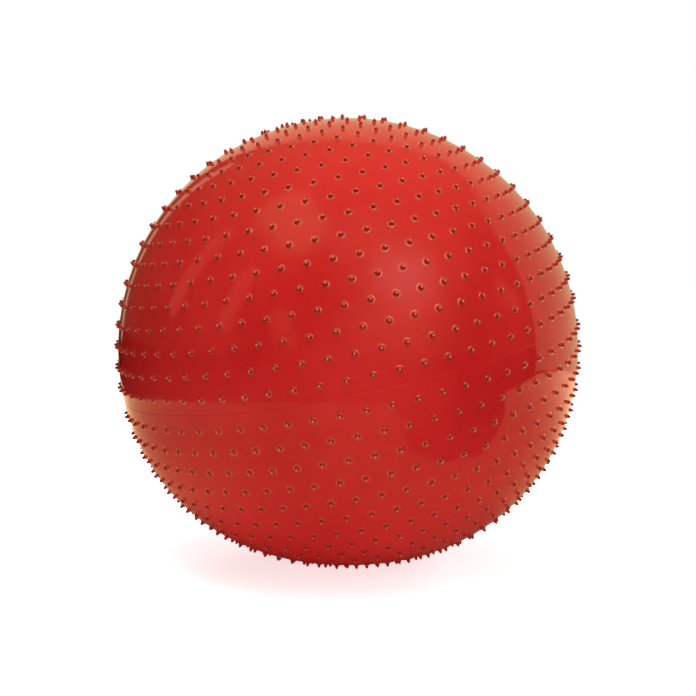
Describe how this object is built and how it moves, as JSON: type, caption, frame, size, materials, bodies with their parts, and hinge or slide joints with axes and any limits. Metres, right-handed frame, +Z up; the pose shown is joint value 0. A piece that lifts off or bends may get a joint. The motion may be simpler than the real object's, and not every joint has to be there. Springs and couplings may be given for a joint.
{
  "type": "massage ball",
  "caption": "Inflatable vinyl massage ball covered in rows of small moulded studs, standing on its own sagged foot, with a push-in air plug in a valve pad at the back.",
  "frame": {"origin": "on the floor under the middle of the ball, level with the tips of the studs that it stands on", "axes": "+Z up, -Y towards the side that the picture shows, +Y towards the valve side"},
  "size_m": [0.6602, 0.6602, 0.6339],
  "materials": {
    "red_vinyl": "gloss",
    "sleeve_vinyl": "satin",
    "plug_plastic": "satin"
  },
  "bodies": {
    "ball": {"ball_skin": "red_vinyl", "valve_sleeve": "sleeve_vinyl"},
    "plug": {"valve_plug": "plug_plastic"}
  },
  "joints": [
    {"name": "plug_pull", "type": "slide", "parent": "ball", "child": "plug", "axis": [0, 0.9397, 0.342], "range_m": [0, 0.045]}
  ]
}
